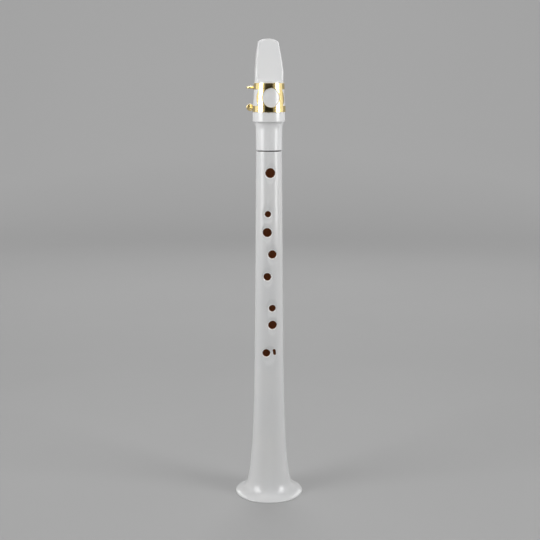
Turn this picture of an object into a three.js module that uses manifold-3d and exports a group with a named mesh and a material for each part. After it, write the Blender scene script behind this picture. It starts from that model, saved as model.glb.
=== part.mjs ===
// Pocket saxophone: a moulded tube with a flared bell and open tone holes, and a single-reed mouthpiece
// that pushes on the tube's tenon. The reed is held on the mouthpiece by a thin metal ligature.
// Units are millimetres. The origin is the centre of the bell's rim, +Z runs up to the mouthpiece's tip,
// the tone holes face -Y, and the instrument stands on its bell.

import * as THREE from 'three';
import { mergeVertices } from 'three/addons/utils/BufferGeometryUtils.js';
import Module from 'manifold-3d';

const wasm = await Module();
wasm.setup();

const degree = Math.PI / 180;

// Tube and tenon
const bodyLength = 298.6;
const tubeTopRadius = 10.8;
const tubeTaper = 0.009;
const shoulderWidth = 2;
const shoulderRounding = 0.6;
const tenonLength = 18.4;
const tenonWall = 1.8;
const tenonChamfer = 0.5;
const tenonRadius = tubeTopRadius - shoulderWidth;
const boreRadius = tenonRadius - tenonWall;
const tubeWall = shoulderWidth + tenonWall;

// Bell
const bellRimRadius = 29.25;
const bellLipThickness = 1.15;
const bellLipRounding = 0.5;
const bellLipInset = 0.38;
const bellSwell = 7.4;
const bellSwellLength = 30;
const lipFlareLength = 2.7;
const bellInnerRise = 0.9;
const bellInnerEdge = 0.3;
const wallGrowthLength = 12;

// Holes run straight along Y: drop is measured down from the tube's shoulder, offset sideways along X
const toneHoles = [
  { drop: 17.6, offset: 1.0, diameter: 8.1 },
  { drop: 51.7, offset: -0.9, diameter: 5.2 },
  { drop: 67.1, offset: -1.5, diameter: 7.5 },
  { drop: 85.6, offset: 2.7, diameter: 6.9 },
  { drop: 104.6, offset: -1.4, diameter: 6.4 },
  { drop: 131.6, offset: 2.7, diameter: 5.7 },
  { drop: 146.1, offset: 2.9, diameter: 7.2 },
  { drop: 170.5, offset: -2.3, diameter: 6.6 },
];
const thumbHole = { drop: 35.6, offset: 0, diameter: 7 };
const ventSlot = { drop: 169.7, offset: 4.5, width: 2.5, length: 5.4, lean: -8 };

// Every hole lies in a shallow finger dish; the lowest hole and the slot share one that runs straight across
const dishLength = 16.6;
const dishDepth = 1.3;
const lowDishDrop = 172.0;
const lowDishDepth = 1.6;

// Tenon rings
const ringDrops = [4.5, 12.5];
const grooveDepth = 0.9;
const grooveWidth = 1.4;
const ringClearance = 0.05;

// Mouthpiece: lengths run up from its lower end
const mouthpieceTurn = 8 * degree;
const seatGap = 0.7;
const tenonClearance = 0.25;
const socketSpareDepth = 0.1;
const shankStep = 0.05;
const shankLength = 16.7;
const shankTaper = 0.15;
const shankRounding = 0.6;
const collarLength = 7;
const collarFlare = 2.45;
const collarEdge = 0.3;
const barrelLength = 32.5;
const barrelDrop = 1.5;
const barrelCurve = 1.5;
const beakLength = 34.5;

// Beak
const beakFootInset = 5.35;
const beakFootFillet = 1;
const beakSideSlope = 0.045;
const beakSideCurve = 0.0021;
const tipThickness = 1.2;
const tipArcRadius = 14.5;
const tipCornerLength = 1.5;
const tipCornerWidth = 1.1;

// Table, facing and window at the back, where the reed lies
const tableInset = 3.7;
const tableTilt = 2.4 * degree;
const tableSpare = 0.2;
const facingLength = 23;
const tipOpening = 1.8;
const windowWidth = 12;
const windowLength = 37;
const tipRail = 1.4;
const beakWall = 2.2;

// Reed
const reedLength = 70;
const reedThickness = 3;
const reedArchRadius = 13.8;
const reedButtWidth = 13;
const reedTipWidth = 16;
const reedTipSetback = 0.4;
const reedTipThickness = 0.3;
const reedVampLength = 33;
const reedVampStep = 0.35;
const reedHeartShare = 0.42;
const reedGap = 0.2;

// Ligature band
const ligatureHeight = 23.4;
const ligatureDrop = 1.4;
const ligatureBandHeight = 5.1;
const ligatureSheet = 0.4;
const ligatureClearance = 0.15;
const plateHalfAngle = 46 * degree;
const plateBulgeAngle = 58 * degree;
const plateHoleWidth = 14.6;
const plateHoleHeight = 15.4;
const slitHalfWidth = 4.3;
const stripWidth = 4.1;

// Ligature posts
const postRadius = 2.1;
const postLength = 4.6;
const postSetback = 0.3;
const postFootWidth = 3;
const postSeatGap = 0.1;
const screwStandoff = 1.2;
const screwDrops = [3.7, 20.1];

// Ligature screws
const screwRadius = 1.25;
const screwClearance = 0.1;
const screwEndProjection = 0.7;
const screwCollarRadius = 1.9;
const screwCollarLength = 1.9;
const screwCollarGap = 0.1;
const paddleRadius = 3;
const paddleThickness = 2.1;
const paddleEdgeThickness = 1.3;
const paddleOverlap = 0.25;
const paddleTurns = [90 * degree, 10 * degree];

// Mesh fineness
const roundSegments = 48;
const ringSections = 6;
const holeSegments = 16;
const postSegments = 16;
const flareSteps = 12;
const dishSegments = 24;
const dishSteps = 5;

// Cuts reach past every part of the instrument, and a dish's cutter past the dish's ends
const cutReach = 2 * bellRimRadius;
const dishSpare = 2;

// Turns a closed three.js geometry into a solid that can be cut and joined
function solid(geometry) {
  const bare = geometry.index ? geometry.toNonIndexed() : geometry.clone();
  bare.deleteAttribute('normal');
  bare.deleteAttribute('uv');
  const merged = mergeVertices(bare, 1e-4);
  const corners = merged.index.array;
  const kept = [];
  for (let i = 0; i < corners.length; i += 3) {
    const [a, b, c] = corners.slice(i, i + 3);
    if (a !== b && b !== c && c !== a) kept.push(a, b, c);
  }
  return new wasm.Manifold(new wasm.Mesh({
    numProp: 3,
    vertProperties: new Float32Array(merged.attributes.position.array),
    triVerts: new Uint32Array(kept),
  }));
}

function geometryOf(shape) {
  const mesh = shape.getMesh();
  const geometry = new THREE.BufferGeometry();
  geometry.setAttribute('position', new THREE.BufferAttribute(mesh.vertProperties, mesh.numProp));
  geometry.setIndex(new THREE.BufferAttribute(mesh.triVerts, 1));
  return geometry;
}

// A solid of revolution about Z; points are [radius, height], counter-clockwise or from axis to axis
function turned(points, segments = roundSegments) {
  const profile = points.map(([radius, height]) => new THREE.Vector2(radius, height));
  return solid(new THREE.LatheGeometry(profile, segments).rotateX(Math.PI / 2));
}

function closedTurned(points, segments = roundSegments) {
  return turned([...points, points[0]], segments);
}

// A disc or shaft about Z between two heights
function shaft(radius, low, high, segments) {
  return turned([[0, low], [radius, low], [radius, high], [0, high]], segments);
}

// A shape drawn in Y and Z, extruded along X between two places
function extrudedAlongX(shape, from, to) {
  const geometry = new THREE.ExtrudeGeometry(shape, { depth: to - from, bevelEnabled: false });
  const axes = new THREE.Matrix4().makeBasis(
    new THREE.Vector3(0, 1, 0),
    new THREE.Vector3(0, 0, 1),
    new THREE.Vector3(1, 0, 0),
  );
  return solid(geometry.applyMatrix4(axes).translate(from, 0, 0));
}

// A shape drawn in X and Z, extruded along Y between two places
function extrudedAlongY(shape, from, to) {
  const geometry = new THREE.ExtrudeGeometry(shape, { depth: to - from, bevelEnabled: false });
  const axes = new THREE.Matrix4().makeBasis(
    new THREE.Vector3(1, 0, 0),
    new THREE.Vector3(0, 0, 1),
    new THREE.Vector3(0, -1, 0),
  );
  return solid(geometry.applyMatrix4(axes).translate(0, to, 0));
}

function polygon(points) {
  return new THREE.Shape(points.map(([across, height]) => new THREE.Vector2(across, height)));
}

// Points of an arc or quarter ellipse, both ends included
function arc(centreX, centreY, radiusX, radiusY, startDegrees, endDegrees, steps) {
  const points = [];
  for (let i = 0; i <= steps; i += 1) {
    const angle = (startDegrees + ((endDegrees - startDegrees) * i) / steps) * degree;
    points.push([centreX + radiusX * Math.cos(angle), centreY + radiusY * Math.sin(angle)]);
  }
  return points;
}

// Bell curve: radius of the outer wall at a height above the bell's lip
const bellBaseRadius = tubeTopRadius + tubeTaper * (bodyLength - bellLipThickness);
const lipFlare = bellRimRadius - bellLipInset - bellBaseRadius - bellSwell;

function bellCurve(height) {
  const tube = bellBaseRadius - tubeTaper * height;
  const swell = bellSwell * Math.exp(-height / bellSwellLength);
  return tube + swell + lipFlare * Math.exp(-height / lipFlareLength);
}

function bodyOuterRadius(height) {
  return bellCurve(height - bellLipThickness);
}

function bodyInnerRadius(height) {
  const wall = tubeWall * (1 - Math.exp(-height / wallGrowthLength));
  return bellCurve(height + bellInnerRise) - wall;
}

// Heights from the lip to the shoulder, close together where the flare curves most
function flareHeights(from, to) {
  const crowding = 5.2;
  const heights = [];
  for (let i = 0; i <= flareSteps; i += 1) {
    const share = (Math.exp((crowding * i) / flareSteps) - 1) / (Math.exp(crowding) - 1);
    heights.push(from + (to - from) * share);
  }
  return heights;
}

function tenonOutline() {
  const top = bodyLength + tenonLength;
  const points = [[tenonRadius, bodyLength]];
  for (const drop of [...ringDrops].reverse()) {
    const low = top - drop - grooveWidth / 2;
    const high = top - drop + grooveWidth / 2;
    points.push([tenonRadius, low], [tenonRadius - grooveDepth, low]);
    points.push([tenonRadius - grooveDepth, high], [tenonRadius, high]);
  }
  points.push([tenonRadius, top - tenonChamfer], [tenonRadius - tenonChamfer, top], [boreRadius, top]);
  return points;
}

function bodyBlank() {
  const innerEdgeRadius = bodyInnerRadius(0);
  const shoulderStart = bodyLength - shoulderRounding;
  const lip = arc(
    bellRimRadius - bellLipRounding, bellLipRounding, bellLipRounding, bellLipRounding, -90, 30, 4,
  );
  const outer = flareHeights(bellLipThickness, shoulderStart)
    .map((height) => [bodyOuterRadius(height), height]);
  const rounding = arc(
    tubeTopRadius - shoulderRounding, shoulderStart, shoulderRounding, shoulderRounding, 0, 90, 3,
  ).slice(1);
  const inner = flareHeights(bellInnerEdge, bodyLength)
    .map((height) => [bodyInnerRadius(height), height])
    .reverse();
  return closedTurned([
    [innerEdgeRadius + bellInnerEdge, 0],
    ...lip,
    ...outer,
    ...rounding,
    ...tenonOutline(),
    ...inner.slice(1),
  ]);
}

// A round hole out of the bore through the front wall
function holeCutter({ drop, offset, diameter }) {
  return shaft(diameter / 2, 0, cutReach, holeSegments)
    .rotate([90, 0, 0])
    .translate([offset, 0, bodyLength - drop]);
}

// Side view of a dish that sinks to a depth under a surface: distances from its middle, and from the axis
function dishOutline(surface, depth) {
  const rise = depth / (dishLength / 2) ** 2;
  const reach = dishLength / 2 + dishSpare;
  return levels(0, reach, dishSteps).map((run) => [run, surface - depth + rise * run ** 2]);
}

// A round dish whose middle faces straight out from the axis at its hole
function dishCutter({ drop, offset }) {
  const height = bodyLength - drop;
  const surface = bodyOuterRadius(height);
  const bowl = dishOutline(surface, dishDepth);
  const [reach] = bowl[bowl.length - 1];
  return turned([...bowl, [reach, cutReach], [0, cutReach]], dishSegments)
    .rotate([90, 0, 0])
    .rotate([0, 0, Math.asin(offset / surface) / degree])
    .translate([0, 0, height]);
}

function lowDishCutter() {
  const height = bodyLength - lowDishDrop;
  const upper = dishOutline(bodyOuterRadius(height), lowDishDepth).map(([run, depth]) => [-depth, run]);
  const lower = upper.slice(1).map(([depth, run]) => [depth, -run]).reverse();
  const [, reach] = upper[upper.length - 1];
  return extrudedAlongX(polygon([
    ...lower,
    ...upper,
    [-cutReach, reach],
    [-cutReach, -reach],
  ]), -cutReach, cutReach).translate([0, 0, height]);
}

function slotCutter({ drop, offset, width, length, lean }) {
  const half = length / 2 - width / 2;
  const outline = [
    ...arc(0, half, width / 2, width / 2, 0, 180, 6),
    ...arc(0, -half, width / 2, width / 2, 180, 360, 6),
  ];
  return extrudedAlongY(polygon(outline), -cutReach, 0)
    .rotate([0, lean, 0])
    .translate([offset, 0, bodyLength - drop]);
}

function body() {
  let shape = bodyBlank()
    .subtract(lowDishCutter())
    .subtract(slotCutter(ventSlot));
  for (const hole of toneHoles) {
    shape = shape.subtract(holeCutter(hole));
  }
  for (const hole of toneHoles.slice(0, -1)) {
    shape = shape.subtract(dishCutter(hole));
  }
  for (const cutter of [holeCutter(thumbHole), dishCutter(thumbHole)]) {
    shape = shape.subtract(cutter.rotate([0, 0, 180]));
  }
  return shape;
}

// Rings fill the space between the groove's floor and the mouthpiece's socket
const socketRadius = tenonRadius + tenonClearance;
const ringInnerRadius = tenonRadius - grooveDepth + ringClearance;
const ringThickness = socketRadius - ringClearance - ringInnerRadius;

function tenonRing(drop) {
  const section = ringThickness / 2;
  const height = bodyLength + tenonLength - drop;
  const outline = arc(ringInnerRadius + section, height, section, section, 0, 360, ringSections);
  return turned(outline);
}

// Heights on the mouthpiece, above its lower end
const collarTop = shankLength + collarLength;
const barrelTop = collarTop + barrelLength;
const tipHeight = barrelTop + beakLength;
const shankRadius = tubeTopRadius + shankStep;
const shankTopRadius = shankRadius + shankTaper;
const collarRadius = shankTopRadius + collarFlare;
const barrelTopRadius = collarRadius - barrelDrop;

// Reed: Z runs along it towards the tip, Y is its thickness from the table, with the barrel's top at Z = 0
const reedTip = beakLength / Math.cos(tableTilt) - reedTipSetback;
const reedButt = reedTip - reedLength;

function barrelRadius(height) {
  const share = THREE.MathUtils.clamp((height - collarTop) / barrelLength, 0, 1);
  return collarRadius - barrelDrop * share ** barrelCurve;
}

// Table plane: its distance behind the axis at a height
function tableDepth(height) {
  return barrelTopRadius - tableInset - Math.tan(tableTilt) * (height - barrelTop);
}

function facingDepth(height) {
  const share = Math.max(0, 1 - (tipHeight - height) / facingLength);
  return tableDepth(height) - tipOpening * share ** 2;
}

function beakHalfWidth(height) {
  const rise = Math.max(0, height - barrelTop);
  return barrelTopRadius - beakSideSlope * rise - beakSideCurve * rise ** 2;
}

// The beak's sloping front face, as its distance in Y at a height
const beakFootDepth = -(barrelTopRadius - beakFootInset);
const tipFrontDepth = facingDepth(tipHeight) - tipThickness;

function beakDepth(height) {
  const share = (height - barrelTop) / beakLength;
  return beakFootDepth + (tipFrontDepth - beakFootDepth) * share;
}

function levels(from, to, steps) {
  return Array.from({ length: steps + 1 }, (_, i) => from + ((to - from) * i) / steps);
}

function mouthpieceBlank() {
  const shankFoot = arc(
    shankRadius - shankRounding, shankRounding, shankRounding, shankRounding, -90, 0, 3,
  );
  const collar = arc(
    collarRadius, shankLength, collarFlare, collarLength - collarEdge, 180, 90, 6,
  );
  const barrel = levels(collarTop, barrelTop, 6).map((height) => [barrelRadius(height), height]);
  return turned([
    [0, 0],
    ...shankFoot,
    ...collar,
    ...barrel,
    [barrelTopRadius, tipHeight + 1],
    [0, tipHeight + 1],
  ]);
}

function sideOutline() {
  const slopeStart = barrelTop + beakFootFillet;
  const tableEnd = barrelTop + reedButt * Math.cos(tableTilt) - tableSpare;
  const facing = levels(tipHeight, tipHeight - facingLength, 8)
    .map((height) => [facingDepth(height), height]);
  return polygon([
    [-cutReach, -1],
    [cutReach, -1],
    [cutReach, tableEnd],
    [tableDepth(tableEnd), tableEnd],
    ...facing.reverse(),
    [facingDepth(tipHeight), tipHeight + 1],
    [tipFrontDepth, tipHeight + 1],
    [tipFrontDepth, tipHeight],
    [beakDepth(slopeStart), slopeStart],
    [beakDepth(barrelTop) - beakFootFillet / 3, barrelTop + beakFootFillet / 3],
    [beakDepth(barrelTop) - beakFootFillet, barrelTop],
    [-cutReach, barrelTop],
  ]);
}

function tipArcHeight(across) {
  return tipHeight - tipArcRadius + Math.sqrt(tipArcRadius ** 2 - across ** 2);
}

// Front view of the beak: tapered sides and a rounded tip, wide open below the barrel's top
function frontOutline() {
  const cornerAcross = beakHalfWidth(tipHeight) + tipCornerWidth / 4;
  const cornerHeight = tipArcHeight(cornerAcross);
  const sideEnd = cornerHeight - tipCornerLength;
  const arcEnd = cornerAcross - tipCornerWidth;
  const side = levels(barrelTop, sideEnd, 6).map((height) => [beakHalfWidth(height), height]);
  const corner = new THREE.QuadraticBezierCurve(
    new THREE.Vector2(beakHalfWidth(sideEnd), sideEnd),
    new THREE.Vector2(cornerAcross, cornerHeight),
    new THREE.Vector2(arcEnd, tipArcHeight(arcEnd)),
  ).getPoints(4).map((point) => [point.x, point.y]);
  const tip = levels(arcEnd, 0, 5).map((across) => [across, tipArcHeight(across)]);
  const right = [...side, ...corner.slice(1), ...tip.slice(1)];
  const left = right.slice(0, -1).reverse().map(([across, height]) => [-across, height]);
  return polygon([
    [-cutReach, -1],
    [cutReach, -1],
    [cutReach, barrelTop],
    ...right,
    ...left,
    [-cutReach, barrelTop],
  ]);
}

// The chamber under the beak and the window that opens it to the reed
function chamberOutline() {
  const roofEnd = tipHeight - tipRail;
  const windowStart = tipHeight - windowLength;
  const throat = windowStart - boreRadius / 2;
  return polygon([
    [-(boreRadius - 1), throat],
    [boreRadius - 1, throat],
    [tableDepth(windowStart) - 1, windowStart],
    [cutReach, windowStart],
    [cutReach, roofEnd],
    [facingDepth(roofEnd), roofEnd],
    [beakDepth(tipHeight - facingLength / 2) + beakWall, tipHeight - facingLength / 2],
    [beakDepth(barrelTop) + beakWall, barrelTop],
  ]);
}

function mouthpiece() {
  const socketDepth = tenonLength + socketSpareDepth;
  const boreTop = tipHeight - windowLength;
  return mouthpieceBlank()
    .intersect(extrudedAlongX(sideOutline(), -cutReach, cutReach))
    .intersect(extrudedAlongY(frontOutline(), -cutReach, cutReach))
    .subtract(shaft(socketRadius, -1, socketDepth, roundSegments))
    .subtract(shaft(boreRadius, socketDepth - 1, boreTop, roundSegments))
    .subtract(extrudedAlongX(chamberOutline(), -windowWidth / 2, windowWidth / 2));
}

function reedThicknessOutline() {
  const vampStart = reedTip - reedVampLength;
  const heart = reedTip - reedVampLength / 2;
  const base = reedGap;
  return polygon([
    [base, reedButt],
    [base + reedThickness, reedButt],
    [base + reedThickness, vampStart],
    [base + reedThickness - reedVampStep, vampStart + reedVampStep],
    [base + reedThickness * reedHeartShare, heart],
    [base + reedTipThickness, reedTip],
    [base, reedTip],
  ]);
}

function reedPlanOutline() {
  const cornerAcross = reedTipWidth / 2;
  const cornerRounding = 1;
  const sagitta = tipArcRadius - Math.sqrt(tipArcRadius ** 2 - cornerAcross ** 2);
  const tipLine = (across) => reedTip - tipArcRadius + Math.sqrt(tipArcRadius ** 2 - across ** 2);
  const tip = levels(cornerAcross - cornerRounding, -(cornerAcross - cornerRounding), 8)
    .map((across) => [across, tipLine(across)]);
  const cornerHeight = reedTip - sagitta - cornerRounding;
  return polygon([
    [-reedButtWidth / 2, reedButt - 1],
    [reedButtWidth / 2, reedButt - 1],
    [cornerAcross, cornerHeight],
    ...tip,
    [-cornerAcross, cornerHeight],
  ]);
}

// The reed's own frame, described above, has its arch as part of a large cylinder
function reed() {
  const archCentre = reedGap + reedThickness - reedArchRadius;
  const arch = shaft(reedArchRadius, reedButt - 1, reedTip + 1, roundSegments)
    .translate([0, archCentre, 0]);
  return arch
    .intersect(extrudedAlongX(reedThicknessOutline(), -cutReach, cutReach))
    .intersect(extrudedAlongY(reedPlanOutline(), -cutReach, cutReach));
}

// Ligature: a sheet that follows the barrel at a small clearance
const ligatureTop = barrelTop - ligatureDrop;
const ligatureBottom = ligatureTop - ligatureHeight;
const ligatureMiddle = (ligatureTop + ligatureBottom) / 2;

function sheetInnerRadius(height) {
  return barrelRadius(height) + ligatureClearance;
}

function sheetOuterRadius(height) {
  return sheetInnerRadius(height) + ligatureSheet;
}

function sheetWindow() {
  const low = ligatureBottom + ligatureBandHeight;
  const high = ligatureTop - ligatureBandHeight;
  const radius = sheetInnerRadius(ligatureMiddle);
  const frontEdge = -radius * Math.cos(plateHalfAngle);
  const bulge = -radius * Math.cos(plateBulgeAngle);
  const backEdge = Math.sqrt(radius ** 2 - (slitHalfWidth + stripWidth) ** 2);
  const edge = new THREE.QuadraticBezierCurve(
    new THREE.Vector2(frontEdge, high),
    new THREE.Vector2(2 * bulge - frontEdge, ligatureMiddle),
    new THREE.Vector2(frontEdge, low),
  ).getPoints(8).map((point) => [point.x, point.y]);
  return extrudedAlongX(polygon([[backEdge, low], [backEdge, high], ...edge]), -cutReach, cutReach);
}

function plateHole() {
  const outline = arc(0, ligatureMiddle, plateHoleWidth / 2, plateHoleHeight / 2, 0, 360, 32).slice(1);
  return extrudedAlongY(polygon(outline), -cutReach, 0);
}

function backSlit() {
  const outline = polygon([
    [-slitHalfWidth, ligatureBottom - 1],
    [slitHalfWidth, ligatureBottom - 1],
    [slitHalfWidth, ligatureTop + 1],
    [-slitHalfWidth, ligatureTop + 1],
  ]);
  return extrudedAlongY(outline, 0, cutReach);
}

function ligatureBand() {
  const heights = levels(ligatureBottom, ligatureTop, 5);
  const outer = heights.map((height) => [sheetOuterRadius(height), height]);
  const inner = heights.map((height) => [sheetInnerRadius(height), height]).reverse();
  return closedTurned([...outer, ...inner])
    .subtract(sheetWindow())
    .subtract(plateHole())
    .subtract(backSlit());
}

// Posts: short tubes along X on feet that follow the sheet; side is +1 or -1
const screwDepth = sheetOuterRadius(ligatureBottom) + screwStandoff;
const postInner = slitHalfWidth + postSetback;
const postOuter = postInner + postLength;

function alongX(shape) {
  return shape.rotate([0, 90, 0]);
}

function ligaturePost(side, drop) {
  const height = ligatureTop - drop;
  const [from, to] = side > 0 ? [postInner, postOuter] : [-postOuter, -postInner];
  const tube = alongX(shaft(postRadius, from, to, postSegments)).translate([0, screwDepth, height]);
  const foot = extrudedAlongX(polygon([
    [0, height - postFootWidth / 2],
    [screwDepth, height - postFootWidth / 2],
    [screwDepth, height + postFootWidth / 2],
    [0, height + postFootWidth / 2],
  ]), from, to);
  const heights = levels(ligatureBottom - postRadius, ligatureTop + postRadius, 6);
  const sheet = turned([
    [0, heights[0]],
    ...heights.map((level) => [sheetOuterRadius(level) + postSeatGap, level]),
    [0, heights[heights.length - 1]],
  ]);
  const bore = alongX(shaft(screwRadius + screwClearance, -cutReach, cutReach, postSegments))
    .translate([0, screwDepth, height]);
  return tube.add(foot).subtract(sheet).subtract(bore);
}

// Screws: shaft, collar and thumb paddle, with the paddle beyond the post on the -X side
function ligatureScrew(drop, paddleTurn) {
  const height = ligatureTop - drop;
  const collarStart = -(postOuter + screwCollarGap);
  const collarEnd = collarStart - screwCollarLength;
  const paddleCentre = collarEnd - paddleRadius + paddleOverlap;
  const shaftEnd = postOuter + screwEndProjection;
  const pin = alongX(turned([
    [0, paddleCentre],
    [screwRadius, paddleCentre],
    [screwRadius, collarEnd],
    [screwCollarRadius, collarEnd],
    [screwCollarRadius, collarStart],
    [screwRadius, collarStart],
    [screwRadius, shaftEnd - screwRadius / 3],
    [screwRadius * 0.7, shaftEnd],
    [0, shaftEnd],
  ], postSegments));
  const edge = paddleEdgeThickness / 2;
  const face = paddleThickness / 2;
  const paddle = turned([
    [0, -face],
    [paddleRadius * 0.6, -face],
    [paddleRadius, -edge],
    [paddleRadius, edge],
    [paddleRadius * 0.6, face],
    [0, face],
  ], postSegments).rotate([90, 0, 0]).translate([paddleCentre, 0, 0]);
  return pin.add(paddle)
    .rotate([paddleTurn / degree, 0, 0])
    .translate([0, screwDepth, height]);
}

// Materials
const whitePlastic = { color: 0xdcdcda, roughness: 0.22, metalness: 0 };
const goldBrass = { color: 0xd9a93f, roughness: 0.16, metalness: 1 };
const caneReed = { color: 0xd9bd83, roughness: 0.6, metalness: 0 };
const blackRubber = { color: 0x17171a, roughness: 0.75, metalness: 0 };

function piece(name, shape, finish) {
  const mesh = new THREE.Mesh(geometryOf(shape), new THREE.MeshStandardMaterial(finish));
  mesh.name = name;
  return mesh;
}

const instrument = new THREE.Group();
instrument.add(
  piece('body', body(), whitePlastic),
  piece('tenon_ring_upper', tenonRing(ringDrops[0]), blackRubber),
  piece('tenon_ring_lower', tenonRing(ringDrops[1]), blackRubber),
);

const headpiece = new THREE.Group();
headpiece.position.z = bodyLength + seatGap;
headpiece.rotation.z = mouthpieceTurn;
headpiece.add(
  piece('mouthpiece', mouthpiece(), whitePlastic),
  piece('ligature_band', ligatureBand(), goldBrass),
);

const reedSeat = new THREE.Group();
reedSeat.position.set(0, tableDepth(barrelTop), barrelTop);
reedSeat.rotation.x = tableTilt;
reedSeat.add(piece('reed', reed(), caneReed));
headpiece.add(reedSeat);

['upper', 'lower'].forEach((level, i) => {
  headpiece.add(
    piece(`ligature_post_${level}_left`, ligaturePost(-1, screwDrops[i]), goldBrass),
    piece(`ligature_post_${level}_right`, ligaturePost(1, screwDrops[i]), goldBrass),
    piece(`ligature_screw_${level}`, ligatureScrew(screwDrops[i], paddleTurns[i]), goldBrass),
  );
});
instrument.add(headpiece);

export default instrument;
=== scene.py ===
"""Looks of the pocket saxophone: a white tube with a flared bell, a mouthpiece, a reed and a ligature.

Shapes are worked out in millimetres. The mouthpiece, the reed and the ligature have frames of their
own, as in the CAD model. Every mesh is put in the part's frame, in metres, as it is made.
"""

import math

import bpy
import numpy as np
from mathutils import Matrix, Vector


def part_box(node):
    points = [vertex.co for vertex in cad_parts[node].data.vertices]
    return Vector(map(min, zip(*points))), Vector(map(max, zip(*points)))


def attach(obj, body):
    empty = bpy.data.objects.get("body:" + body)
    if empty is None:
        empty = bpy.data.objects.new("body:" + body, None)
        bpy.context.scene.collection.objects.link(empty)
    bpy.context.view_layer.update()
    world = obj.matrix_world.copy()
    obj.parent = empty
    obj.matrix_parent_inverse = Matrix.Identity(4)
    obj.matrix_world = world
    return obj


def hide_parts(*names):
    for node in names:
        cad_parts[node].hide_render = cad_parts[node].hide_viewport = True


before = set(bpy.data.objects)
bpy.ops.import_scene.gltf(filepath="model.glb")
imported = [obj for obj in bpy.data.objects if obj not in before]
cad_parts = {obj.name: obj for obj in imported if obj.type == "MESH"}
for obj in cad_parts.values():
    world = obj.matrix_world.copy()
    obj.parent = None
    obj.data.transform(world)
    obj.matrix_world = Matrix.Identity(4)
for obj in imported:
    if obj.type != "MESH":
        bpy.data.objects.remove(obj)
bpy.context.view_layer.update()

MILLIMETRE = 0.001


def cad_box(node):
    """Lowest and highest corner of a CAD node, in millimetres."""
    return [np.array(corner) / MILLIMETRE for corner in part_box(node)]


# Tube and bell, in millimetres
TENON_LENGTH = 18.4
TENON_RADIUS = 8.8
TENON_CHAMFER = 0.5
TENON_ROOT = 0.25
BORE_RADIUS = 7
BORE_CHAMFER = 0.3
TUBE_TOP_RADIUS = 10.8
TUBE_TAPER = 0.009
TUBE_WALL = 3.8
WALL_GROWTH_LENGTH = 12
SHOULDER_ROUNDING = 0.6
BELL_RADIUS = cad_box("body")[1][0]
BELL_LIP = 1.15
BELL_LIP_ROUNDING = 0.5
BELL_LIP_INSET = 0.38
BELL_SWELL = 7.4
BELL_SWELL_LENGTH = 30
LIP_FLARE_LENGTH = 2.7
BELL_INNER_RISE = 0.9
TENON_TOP = cad_box("body")[1][2]
SHOULDER = TENON_TOP - TENON_LENGTH

# Holes: drop below the shoulder, offset along X and diameter; the last shares its dish with the slot
TONE_HOLES = [
    (17.6, 1.0, 8.1),
    (51.7, -0.9, 5.2),
    (67.1, -1.5, 7.5),
    (85.6, 2.7, 6.9),
    (104.6, -1.4, 6.4),
    (131.6, 2.7, 5.7),
    (146.1, 2.9, 7.2),
    (170.5, -2.3, 6.6),
]
THUMB_HOLE = (35.6, 0, 7)
SLOT_DROP, SLOT_OFFSET, SLOT_LEAN = 169.7, 4.5, math.radians(-8)
SLOT_WIDTH, SLOT_LENGTH = 2.5, 5.4
DISH_LENGTH, DISH_DEPTH = 16.6, 1.3
LOW_DISH_DROP, LOW_DISH_DEPTH = 172.0, 1.6
DISH_BLEND = 0.35
DISH_SIDE, NO_DISH = 0.3, 1e3
# The rounding of each hole's rim, and the width of the band round it that carries a painted highlight
HOLE_EDGE, RIM_HIGHLIGHT_WIDTH = 0.5, 0.3

# Tenon rings
RING_LEVELS = ("upper", "lower")
RING_HEIGHTS = [
    sum(corner[2] for corner in cad_box(f"tenon_ring_{level}")) / 2 for level in RING_LEVELS
]
GROOVE_DEPTH, GROOVE_WIDTH, GROOVE_CORNER = 0.9, 1.4, 0.12
RING_RADIUS, RING_SECTION = 8.475, 0.525
FLASH_HEIGHT, FLASH_SPREAD = 0.02, 0.18

# Mouthpiece, with heights above its lower end
HEAD_TURN = math.radians(8)
HEAD_FOOT = cad_box("mouthpiece")[0][2]
TIP = cad_box("mouthpiece")[1][2] - HEAD_FOOT
SHANK_RADIUS, SHANK_TAPER, SHANK_LENGTH = 10.85, 0.15, 16.7
COLLAR_RADIUS, COLLAR_FLARE, COLLAR_RISE = 13.45, 2.45, 6.7
BARREL_BOTTOM, BARREL_LENGTH, BARREL_DROP = 23.7, 32.5, 1.5
BARREL_TOP = BARREL_BOTTOM + BARREL_LENGTH
BARREL_TOP_RADIUS = COLLAR_RADIUS - BARREL_DROP
SHANK_EDGE, COLLAR_EDGE, HEAD_EDGE = 0.6, 0.35, 0.3
SOCKET_RADIUS, SOCKET_DEPTH = 9.05, 18.5
BEAK_FOOT_DEPTH, BEAK_FOOT_FILLET = -6.6, 1.0
BEAK_SLOPE, BEAK_CURVE, BEAK_SIDE_GAP, BEAK_STEEPNESS = 0.045, 0.0021, 0.5, 1.01
BEAK_CORNER, BEAK_EDGE, BEAK_EDGE_GROWTH = 1.0, 0.45, 0.85
TIP_THICKNESS, TIP_ARC = 1.2, 14.5
TABLE_DEPTH, TABLE_TILT, TABLE_END = 8.25, math.radians(2.4), 20.2
FACING_LENGTH, TIP_OPENING = 23, 1.8
WINDOW_HALF_WIDTH, WINDOW_LENGTH, TIP_RAIL, BEAK_WALL = 6, 37, 1.4, 2.2
CHAMBER_CORNER = 1.2

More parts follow.
